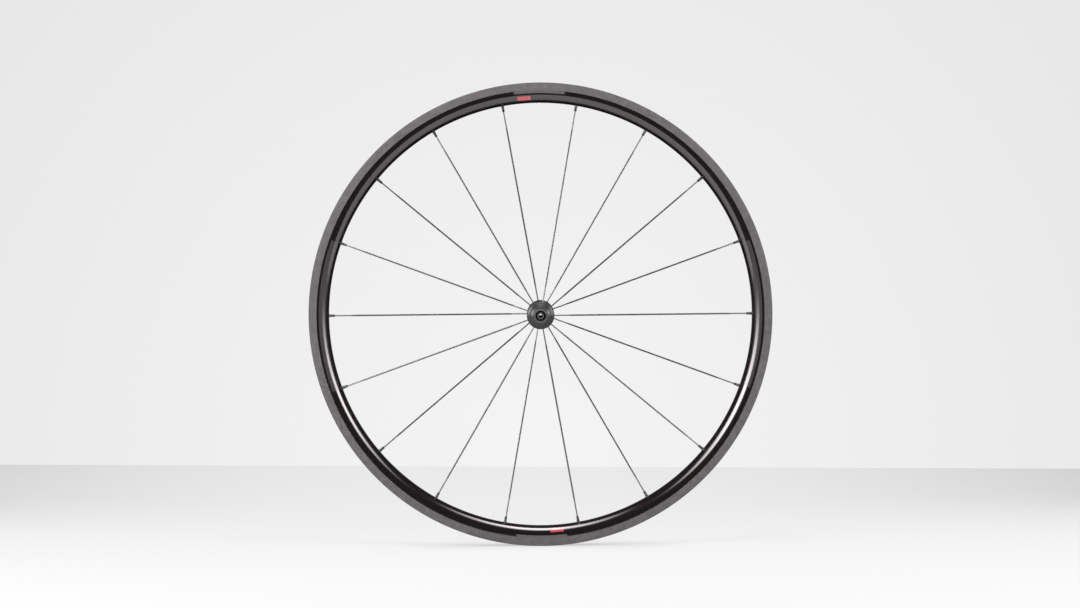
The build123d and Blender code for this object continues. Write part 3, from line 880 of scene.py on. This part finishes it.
def turned_material(name, base, roughness, pitch, metallic=1.0):
    """Turned and finished metal, with fine rings round the axle."""
    surface = Surface(name, Metallic=metallic)
    radius, angle, along = surface.polar(surface.position)
    rate = 1 / pitch
    grooves = [surface.times(radius, rate), surface.times(along, rate), surface.times(angle, 1.5)]
    rings = surface.noise(scale=1.0, detail=2.0, at=surface.vector(*grooves))
    cloudy = surface.noise(scale=180.0)
    mixed = surface.weighted((rings, 0.6), (cloudy, 0.4))
    uneven = surface.ramp(cloudy, 0.2, 0.8, roughness * 0.85, roughness * 1.2)
    surface.give(Base_Color=surface.vary(base, amount=0.25, value=mixed), Roughness=uneven)
    surface.bump(rings, strength=0.05, distance=0.02 * MM)
    return surface.material


def moulded_material(name, base, roughness, gloss=0.5):
    """Moulded nylon or rubber, with a fine leathery grain; the end caps' recesses use it for their painted
    shade.
    """
    surface = Surface(name, Roughness=roughness, IOR=1.5, Specular_IOR_Level=gloss)
    grain = surface.noise(scale=2400.0, detail=4.0, roughness=0.6)
    surface.give(Base_Color=surface.vary(base, amount=0.2, value=grain))
    surface.bump(grain, strength=0.15, distance=0.03 * MM)
    return surface.material


# Operators: one for each piece or group of like pieces


class WHEEL_OT_rim(Operator):
    """Makes the hollow rim with its holes and its three finishes"""

    bl_idname = "wheel.rim"
    bl_label = "Rim"

    def execute(self, context):
        sizes, finish = context.scene.wheel_rim, context.scene.wheel_finish
        nose = nose_radius()
        track = RIM_RADIUS - sizes.track_height
        painted = RIM_HALF_WIDTH - sizes.track_step
        bed = bed_corners(sizes)
        inside = bed[0][1]
        hook = (RIM_RADIUS - sizes.hook_height, inside - sizes.hook_reach)
        corners = [
            (track, RIM_HALF_WIDTH),
            (RIM_RADIUS, RIM_HALF_WIDTH),
            (RIM_RADIUS, hook[1]),
            hook,
            (hook[0] - sizes.hook_reach, inside),
            *bed,
        ]
        lip, edge = sizes.lip_round, sizes.track_step * 0.5
        rounds = [edge, lip, lip, edge, edge, 2 * edge, 2 * edge, 2 * edge]
        half = flank(nose, track, painted, sizes.nose_round)
        before = half[-1]
        for corner, after, radius in zip(corners, corners[1:], rounds):
            half += rounded(corner, before, after, radius)
            before = corner
        half.append(corners[-1])

        cavity_half = painted - sizes.side_wall
        cavity = flank(nose + sizes.nose_wall, track, cavity_half, sizes.nose_round - sizes.side_wall)
        ceiling = [(radius - sizes.bed_wall, along) for radius, along in bed[1:]]
        cavity += [(ceiling[0][0], cavity_half), *ceiling]

        piece = outline_object("rim_ring", mirrored(half)[::-1], mirrored(cavity))
        just_outside = painted + sizes.track_step * 0.1
        run_tree(
            piece,
            "Rim with its holes",
            sizes,
            context.scene.wheel_spokes,
            radius=RIM_RADIUS,
            rim_nose=nose,
            track_radius=track,
            track_half_width=just_outside,
            inside_half_width=inside + sizes.track_step,
            lacquer=lacquer_material(finish, context.scene.wheel_marks),
            track=track_material(finish),
            well=well_material(finish),
        )
        settle(piece, "wheel", "rim_carbon", "rim")
        return {"FINISHED"}


class WHEEL_OT_rim_tape(Operator):
    """Makes the woven tape that closes the access holes in the rim's well"""

    bl_idname = "wheel.rim_tape"
    bl_label = "Rim tape"

    def execute(self, context):
        sizes = context.scene.wheel_rim
        _, shelf, well, middle = bed_corners(sizes)
        margin = sizes.tape_margin
        edge = (shelf[0] + sizes.shelf_drop / sizes.shelf_width * margin, shelf[1] + margin)
        under = [(radius + sizes.tape_gap, along) for radius, along in (middle, well, shelf, edge)]
        over = [(radius + sizes.tape_thickness, along) for radius, along in under]
        piece = outline_object("rim_tape_ring", mirrored(under + over[::-1])[::-1])
        weave = tape_material(context.scene.wheel_finish)
        run_tree(piece, "Rim tape", sizes, radius=RIM_RADIUS, material=weave)
        settle(piece, "wheel", "rim_tape", "rim_tape")
        return {"FINISHED"}


class WHEEL_OT_spokes(Operator):
    """Makes the bladed spokes, from their heads in the flanges to their ends in the nipples"""

    bl_idname = "wheel.spokes"
    bl_label = "Spokes"

    def execute(self, context):
        sizes = context.scene.wheel_spokes
        span = spoke_span()
        end = span + sizes.nipple_seat_depth + sizes.nipple_head_height - sizes.end_setback
        round_start = span - sizes.round_at_rim
        radius, head, edge = sizes.diameter / 2, sizes.head_diameter / 2, sizes.edge
        sections = [
            (-sizes.head_length, head - edge, head - edge),
            (-sizes.head_length + edge, head, head),
            (-edge, head, head),
            (0.0, head - edge, head - edge),
            (0.0, radius + edge, radius + edge),
            (edge, radius, radius),
            *self.change(sizes.round_at_hub, sizes.blade_change, sizes),
            *self.change(round_start, -sizes.blade_change, sizes)[::-1],
            (end - edge, radius, radius),
            (end, radius - edge, radius - edge),
        ]
        slope = (nose_radius() - sizes.seat_radius) / span
        half_change = sizes.blade_change / 2
        blade = (sizes.round_at_hub + half_change, round_start - half_change)
        # Radii where the blade meets the round ends; beyond them the coating is lighter, as painted sheen
        ends = [sizes.seat_radius + slope * height for height in blade]
        black = context.scene.wheel_finish.spoke
        coating = coated_material("spoke_coating", black, roughness=0.34, ends=ends)
        piece = lofted_object("spokes", [self.ring(*section) for section in sections])
        run_tree(piece, "One at every spoke", sizes, rim_nose=nose_radius(), material=coating)
        settle(piece, "wheel", "spoke_black", *SPOKES)
        return {"FINISHED"}

    @staticmethod
    def change(start, run, sizes, steps=8):
        """Sections of the change from the round end to the blade, over a run from a height."""
        sections = []
        radius = sizes.diameter / 2
        for step in range(steps + 1):
            share = step / steps
            eased = share * share * (3 - 2 * share)
            wide = radius + (sizes.blade_width / 2 - radius) * eased
            thick = radius + (sizes.blade_thickness / 2 - radius) * eased
            sections.append((start + run * share, wide, thick))
        return sections

    @staticmethod
    def ring(height, wide, thick, sides=20):
        """An ellipse at a height, with its wide side along X."""
        angles = (2 * pi * side / sides for side in range(sides))
        return [(wide * cos(angle), thick * sin(angle), height) for angle in angles]


class WHEEL_OT_nipples(Operator):
    """Makes the nipples, with flats for the key and heads inside the rim"""

    bl_idname = "wheel.nipples"
    bl_label = "Nipples"

    def execute(self, context):
        sizes = context.scene.wheel_spokes
        bore = sizes.diameter / 2 + sizes.thread_clearance
        body, flat, head = sizes.nipple_diameter / 2, sizes.nipple_square / 2, sizes.nipple_head / 2
        low = spoke_span() - sizes.nipple_reach
        shoulder = low + sizes.nipple_square_length
        seat = spoke_span() + sizes.nipple_seat_depth
        top = seat + sizes.nipple_head_height
        edge, chamfer = sizes.nipple_edge, sizes.nipple_head_chamfer
        sections = [
            (low, bore, body),
            (low, flat - edge, body),
            (low + edge, body, flat),
            (shoulder - edge, body, flat),
            (shoulder + edge, body, body),
            (seat, body, body),
            (seat, head, head),
            (top - chamfer, head, head),
            (top, head - chamfer, head),
            (top, bore, body),
        ]
        piece = lofted_object("nipples_set", [self.ring(*section) for section in sections], closed=True)
        black = context.scene.wheel_finish.nipple
        anodising = coated_material("nipple_anodising", black, roughness=0.38)
        run_tree(piece, "One at every spoke", sizes, rim_nose=nose_radius(), material=anodising)
        settle(piece, "wheel", "nipple_black", "nipples")
        return {"FINISHED"}

    @staticmethod
    def ring(height, radius, flat, sides=32):
        """A circle at a height, cut by the four flats of a square."""
        points = []
        for side in range(sides):
            angle = 2 * pi * side / sides
            reach = min(radius, flat / max(abs(cos(angle)), abs(sin(angle))))
            points.append((reach * cos(angle), reach * sin(angle), height))
        return points


class WHEEL_OT_hub(Operator):
    """Makes the hub body, with two flanges and a socket for every spoke"""

    bl_idname = "wheel.hub"
    bl_label = "Hub body"

    def execute(self, context):
        sizes, spokes = context.scene.wheel_hub, context.scene.wheel_spokes
        inner_edge = (FLANGE_RADIUS, sizes.flange_outer - sizes.flange_width)
        outer_edge = (FLANGE_RADIUS, sizes.flange_outer)
        root = (sizes.root_radius, inner_edge[1])
        nose, chamfer = sizes.nose_radius, sizes.nose_chamfer
        face_end = (nose, sizes.flange_outer + (FLANGE_RADIUS - nose) * tan(sizes.face_angle))
        rise = sizes.root_radius - sizes.barrel_radius
        run = root[1] - sizes.barrel_straight
        flare = (rise**2 + run**2) / (2 * rise)
        flare_centre = (sizes.barrel_radius + flare, sizes.barrel_straight)
        half = [
            (sizes.barrel_radius, 0.0),
            *arc(flare_centre, flare, pi, pi - atan2(run, flare - rise), steps=12),
            *rounded(inner_edge, root, outer_edge, sizes.flange_round, steps=6),
            *rounded(outer_edge, inner_edge, face_end, sizes.flange_round, steps=6),
            *rounded(face_end, outer_edge, (nose, HUB_END), chamfer),
            (nose, HUB_END - chamfer),
            (nose - chamfer, HUB_END),
            (sizes.bearing_seat, HUB_END),
            (sizes.bearing_seat, sizes.bearing_inner),
            (sizes.bore_radius, sizes.bearing_inner),
            (sizes.bore_radius, 0.0),
        ]
        piece = outline_object("hub_turned", mirrored(half))
        black = context.scene.wheel_finish.hub
        anodising = turned_material("hub_anodising", black, roughness=0.29, pitch=0.12 * MM, metallic=0.0)
        clearance = sizes.socket_clearance
        run_tree(
            piece,
            "Hub body",
            sizes,
            spokes,
            radius=FLANGE_RADIUS,
            rim_nose=nose_radius(),
            head_width=spokes.head_diameter + 2 * clearance,
            head_depth=spokes.head_length + clearance,
            shank_width=spokes.diameter + 2 * clearance,
            material=anodising,
        )
        settle(piece, "wheel", "hub_anodised", "hub_body")
        return {"FINISHED"}


class WHEEL_OT_end_caps(Operator):
    """Makes the two end caps, with toothed faces for the fork ends"""

    bl_idname = "wheel.end_caps"
    bl_label = "End caps"

    def execute(self, context):
        sizes, finish = context.scene.wheel_caps, context.scene.wheel_finish
        contact, edge = sizes.contact, sizes.edge
        recess = contact - sizes.recess_depth
        shield_drop = (sizes.shield_radius - sizes.contact_radius) * tan(sizes.face_angle)
        shield_edge = (sizes.shield_radius, contact - shield_drop)
        contact_edge = (sizes.contact_radius, contact)
        recess_edge = (sizes.recess_radius, contact)
        teeth_inner = sizes.recess_radius + edge
        teeth_outer = sizes.contact_radius - edge
        teeth_step = (teeth_inner - teeth_outer) / sizes.serration_rows
        groove_low = sizes.groove_middle - sizes.groove_width / 2
        groove_high = sizes.groove_middle + sizes.groove_width / 2
        half = [
            (sizes.bore_radius, sizes.plug_end),
            (sizes.plug_radius, sizes.plug_end),
            (sizes.plug_radius, groove_low),
            (sizes.groove_radius, groove_low),
            (sizes.groove_radius, groove_high),
            (sizes.plug_radius, groove_high),
            (sizes.plug_radius, sizes.spacer_inner),
            (sizes.spacer_radius, sizes.spacer_inner),
            (sizes.spacer_radius, sizes.shield_inner),
            (sizes.shield_radius - edge, sizes.shield_inner),
            (sizes.shield_radius, sizes.shield_inner + edge),
            *rounded(shield_edge, (sizes.shield_radius, sizes.shield_inner), contact_edge, edge),
            *rounded(contact_edge, shield_edge, recess_edge, sizes.contact_edge),
            *((teeth_outer + teeth_step * row, contact) for row in range(sizes.serration_rows + 1)),
            recess_edge,
            (sizes.recess_radius, recess),
            (sizes.recess_inner, recess),
            (sizes.recess_inner, contact),
            (sizes.stub_radius, contact),
            (sizes.stub_radius, CAP_END - sizes.stub_chamfer),
            (sizes.stub_radius - sizes.stub_chamfer, CAP_END),
            (sizes.bore_radius + edge, CAP_END),
            (sizes.bore_radius, CAP_END - edge),
        ]
        anodised = turned_material("cap_anodising", finish.cap, roughness=0.29, pitch=0.1 * MM, metallic=0.0)
        rubbed = turned_material("cap_teeth", finish.teeth, roughness=0.5, pitch=0.1 * MM, metallic=0.0)
        values = {
            "segments": sizes.steps_per_tooth * sizes.serrations,
            "radius": sizes.shield_radius,
            "contact_inner": teeth_inner - edge / 2,
            "contact_outer": teeth_outer - edge / 2,
            "contact_face": contact,
            "recess_centre": (sizes.recess_radius + sizes.recess_inner) / 2,
            "recess_half_width": (sizes.recess_radius - sizes.recess_inner) / 2 + RECESS_TOLERANCE,
            "recess_level": (contact + recess) / 2,
            "recess_half_depth": sizes.recess_depth / 2 + RECESS_TOLERANCE,
            "stub_end": CAP_END,
            "material": anodised,
            "teeth": rubbed,
            # The near black in the recess is painted shade
            "recess": moulded_material("cap_recess", finish.recess, roughness=0.6, gloss=0.15),
        }
        for name, side in SIDES.items():
            loop = [(radius, side * along) for radius, along in half]
            piece = outline_object(f"{name}_end_cap_turned", loop[::side])
            run_tree(piece, "End cap", sizes, **values)
            settle(piece, "axle", "cap_anodised", f"{name}_end_cap")
        return {"FINISHED"}


class WHEEL_OT_bearings(Operator):
    """Gives the axle, the bearings and the seals their finishes"""

    bl_idname = "wheel.bearings"
    bl_label = "Axle and bearings"

    def execute(self, context):
        finish = context.scene.wheel_finish
        steel = turned_material("bearing_steel_ground", finish.steel, roughness=0.22, pitch=0.06 * MM)
        rubber = moulded_material("seal_rubber_moulded", finish.rubber, roughness=0.7)
        materials = {
            "axle": turned_material("axle_machined", finish.alloy, roughness=0.3, pitch=0.08 * MM),
            "bearing_outer_ring": steel,
            "bearing_inner_ring": steel,
            "bearing_balls": steel,
            "bearing_cage": moulded_material("cage_nylon_moulded", finish.nylon, roughness=0.5),
            "bearing_outer_seal": rubber,
            "bearing_inner_seal": rubber,
            "cap_o_ring": rubber,
        }
        for name, node_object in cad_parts.items():
            material = materials.get(name.partition("_")[2]) or materials.get(name)
            if material:
                node_object.material_slots[0].material = material
        return {"FINISHED"}


class WHEEL_OT_stage(Operator):
    """Makes the floor, the lamps, the pale background and the camera"""

    bl_idname = "wheel.stage"
    bl_label = "Stage"

    def execute(self, context):
        scene, stage = context.scene, context.scene.wheel_stage
        self.floor(stage)
        self.lamps(scene)
        self.world(scene, stage)
        self.camera(scene, stage)
        scene.view_settings.view_transform = "Standard"
        return {"FINISHED"}

    @staticmethod
    def empty_nodes(owner):
        """The emptied node tree of a material or a world."""
        owner.use_nodes = True
        owner.node_tree.nodes.clear()
        return Nodes(owner.node_tree)

    def floor(self, stage):
        """A pale sheet under the wheel that ends behind it in a slightly skewed line."""
        shape = bmesh.new()
        corners = []
        for side, edge, skew in (
            (-1, stage.floor_near, 0),
            (1, stage.floor_near, 0),
            (1, stage.floor_far, stage.floor_skew),
            (-1, stage.floor_far, stage.floor_skew),
        ):
            across = side * stage.floor_half
            corners.append(shape.verts.new((across, edge + skew * across, cad_low.z)))
        shape.faces.new(corners)
        floor = mesh_object("floor", shape)
        floor.data.materials.append(self.paper(stage))

    def paper(self, stage):
        """Pale paper, even for the camera, darker in its far corners and where the wheel stands on it."""
        material = bpy.data.materials.new("floor_paper")
        tree = self.empty_nodes(material)
        across, along, _ = tree.split(tree.add("ShaderNodeTexCoord").outputs["Object"])
        # Places across the floor and along it, and how far the wheel's contact shades it, in metres
        corner_centre, corner_start, corner_end = -0.06, 0.1, 0.7
        front, back, mirrored_end = -0.35, 0.4, 0.06
        contact_reach = 0.06
        # How much the corners and the contact darken the paper, and its share of even glow for the camera
        corner_shade, contact_shade, camera_share = 0.22, 0.28, 0.8
        sideways = tree.calc("POWER", tree.minus(across, corner_centre), 2)
        fade = tree.times(sideways, tree.ramp(along, corner_start, corner_end, 0.0, corner_shade))
        open_air = tree.add("ShaderNodeAmbientOcclusion", {"Distance": contact_reach}, samples=16)
        shaded = tree.calc("MULTIPLY_ADD", open_air.outputs["AO"], contact_shade, 1 - contact_shade)
        level = tree.ramp(along, front, back, stage.front_level, stage.back_level)
        glow = tree.out("ShaderNodeEmission", {"Color": tree.times(tree.minus(level, fade), shaded)})
        paper = tree.out("ShaderNodeBsdfDiffuse", {"Color": rgba([stage.paper] * 3)})
        unlit = tree.out("ShaderNodeEmission", {"Color": rgba([0.0] * 3)})
        rays = tree.add("ShaderNodeLightPath").outputs
        lit = tree.blend(tree.times(rays["Is Camera Ray"], camera_share), paper, glow)
        unmirrored = tree.calc("GREATER_THAN", along, mirrored_end)
        shown = tree.blend(tree.times(rays["Is Glossy Ray"], unmirrored), lit, unlit)
        tree.add("ShaderNodeOutputMaterial", {"Surface": shown})
        return material

    @staticmethod
    def lamps(scene):
        """Soft boxes at the left, at the right and overhead, aimed at the wheel and dimmer at their edges."""
        for name, place, target, size, fade, radiance in (
            ("left_lamp", (-1.12, -1.05, 0.43), (0.0, 0.0, 0.0), (1.15, 1.44), (0.25, 0.5), 10.0),
            ("right_lamp", (1.18, -0.98, 0.42), (0.0, 0.0, 0.0), (0.87, 1.35), (0.25, 0.5), 8.3),
            ("top_lamp", (0.06, -0.57, 1.45), (0.0, -0.2, -0.3), (1.70, 1.2), (0.5, 0.5), 9.8),
        ):
            light = bpy.data.lights.new(name, "AREA")
            light.shape = "RECTANGLE"
            light.size, light.size_y = size
            light.energy = radiance * pi * size[0] * size[1]
            light.use_nodes = True
            tree = Nodes(light.node_tree)
            across, up, _ = tree.split(tree.add("ShaderNodeNewGeometry").outputs["Parametric"])
            sideways = tree.ramp(tree.calc("PINGPONG", across, 0.5), 0.0, fade[0])
            upwards = tree.ramp(tree.calc("PINGPONG", up, 0.5), 0.0, fade[1])
            strength = light.node_tree.nodes["Emission"].inputs["Strength"]
            tree.feed(strength, tree.times(sideways, upwards))
            lamp = bpy.data.objects.new(name, light)
            lamp.location = place
            lamp.rotation_euler = (Vector(target) - Vector(place)).to_track_quat("-Z", "Y").to_euler()
            lamp.visible_camera = False
            scene.collection.objects.link(lamp)

    def world(self, scene, stage):
        """A pale background for the camera, an even fill for matte surfaces and a dim room for gloss."""
        scene.world = bpy.data.worlds.new("studio")
        tree = self.empty_nodes(scene.world)
        direction = tree.add("ShaderNodeTexCoord").outputs["Generated"]
        wall_centre = Vector((0.0, 1.0, -0.085)).normalized()
        wall_reach, mirrored_reach = radians(14), radians(30)
        directions = {0: direction, 1: wall_centre}
        facing = tree.add("ShaderNodeVectorMath", directions, operation="DOT_PRODUCT")
        away = tree.calc("ARCCOSINE", facing.outputs["Value"])
        wall = tree.ramp(away, 0.0, wall_reach, stage.wall_level, stage.wall_edge, "LINEAR")
        _, backwards, _ = tree.split(direction)
        strength = tree.ramp(backwards, 0.0, 0.6, stage.ambient, stage.backdrop)
        pale = tree.out("ShaderNodeBackground", {"Color": wall})
        fill = tree.out("ShaderNodeBackground", {"Strength": strength})
        room = tree.out("ShaderNodeBackground", {"Color": rgba([stage.room] * 3)})
        rays = tree.add("ShaderNodeLightPath").outputs
        glossy = rays["Is Glossy Ray"]
        mirrored_wall = tree.times(glossy, tree.calc("LESS_THAN", away, mirrored_reach))
        direct = tree.calc("MAXIMUM", rays["Is Camera Ray"], rays["Is Transmission Ray"])
        seen = tree.calc("MAXIMUM", direct, mirrored_wall)
        shown = tree.blend(seen, tree.blend(glossy, fill, room), pale)
        tree.add("ShaderNodeOutputWorld", {"Surface": shown})

    @staticmethod
    def camera(scene, stage):
        """A long lens in front of the wheel, slightly above its axle."""
        data = bpy.data.cameras.new("camera")
        data.lens = stage.lens
        data.clip_start, data.clip_end = 0.05, 100
        camera = bpy.data.objects.new("camera", data)
        scene.collection.objects.link(camera)
        place = Vector((stage.offset, -stage.distance, stage.height))
        level = atan2(stage.aim - stage.offset, stage.distance)
        turn = (
            Matrix.Rotation(-level, 4, "Z")
            @ Matrix.Rotation(pi / 2 - stage.pitch, 4, "X")
            @ Matrix.Rotation(-stage.roll, 4, "Z")
        )
        camera.matrix_world = Matrix.Translation(place) @ turn
        scene.camera = camera


class WHEEL_PT_panel(Panel):
    """Lists the wheel's operators in the sidebar"""

    bl_idname = "WHEEL_PT_panel"
    bl_label = "Wheel"
    bl_space_type = "VIEW_3D"
    bl_region_type = "UI"
    bl_category = "Wheel"

    def draw(self, context):
        for operator in OPERATORS:
            self.layout.operator(operator.bl_idname)


PROPERTIES = {
    "wheel_rim": WheelRimSizes,
    "wheel_spokes": WheelSpokeSizes,
    "wheel_hub": WheelHubSizes,
    "wheel_caps": WheelCapSizes,
    "wheel_marks": WheelMarks,
    "wheel_finish": WheelFinish,
    "wheel_stage": WheelStage,
}
OPERATORS = (
    WHEEL_OT_rim,
    WHEEL_OT_rim_tape,
    WHEEL_OT_spokes,
    WHEEL_OT_nipples,
    WHEEL_OT_hub,
    WHEEL_OT_end_caps,
    WHEEL_OT_bearings,
    WHEEL_OT_stage,
)


def register():
    for kind in (*PROPERTIES.values(), *OPERATORS, WHEEL_PT_panel):
        bpy.utils.register_class(kind)
    for name, kind in PROPERTIES.items():
        setattr(bpy.types.Scene, name, PointerProperty(type=kind))


def unregister():
    for name in PROPERTIES:
        delattr(bpy.types.Scene, name)
    for kind in (WHEEL_PT_panel, *reversed(OPERATORS), *reversed(PROPERTIES.values())):
        bpy.utils.unregister_class(kind)


def main():
    """Registers the add-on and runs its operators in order."""
    register()
    make_trees()
    bpy.ops.wheel.rim()
    bpy.ops.wheel.rim_tape()
    bpy.ops.wheel.spokes()
    bpy.ops.wheel.nipples()
    bpy.ops.wheel.hub()
    bpy.ops.wheel.end_caps()
    bpy.ops.wheel.bearings()
    bpy.ops.wheel.stage()


if __name__ == "__main__":
    main()
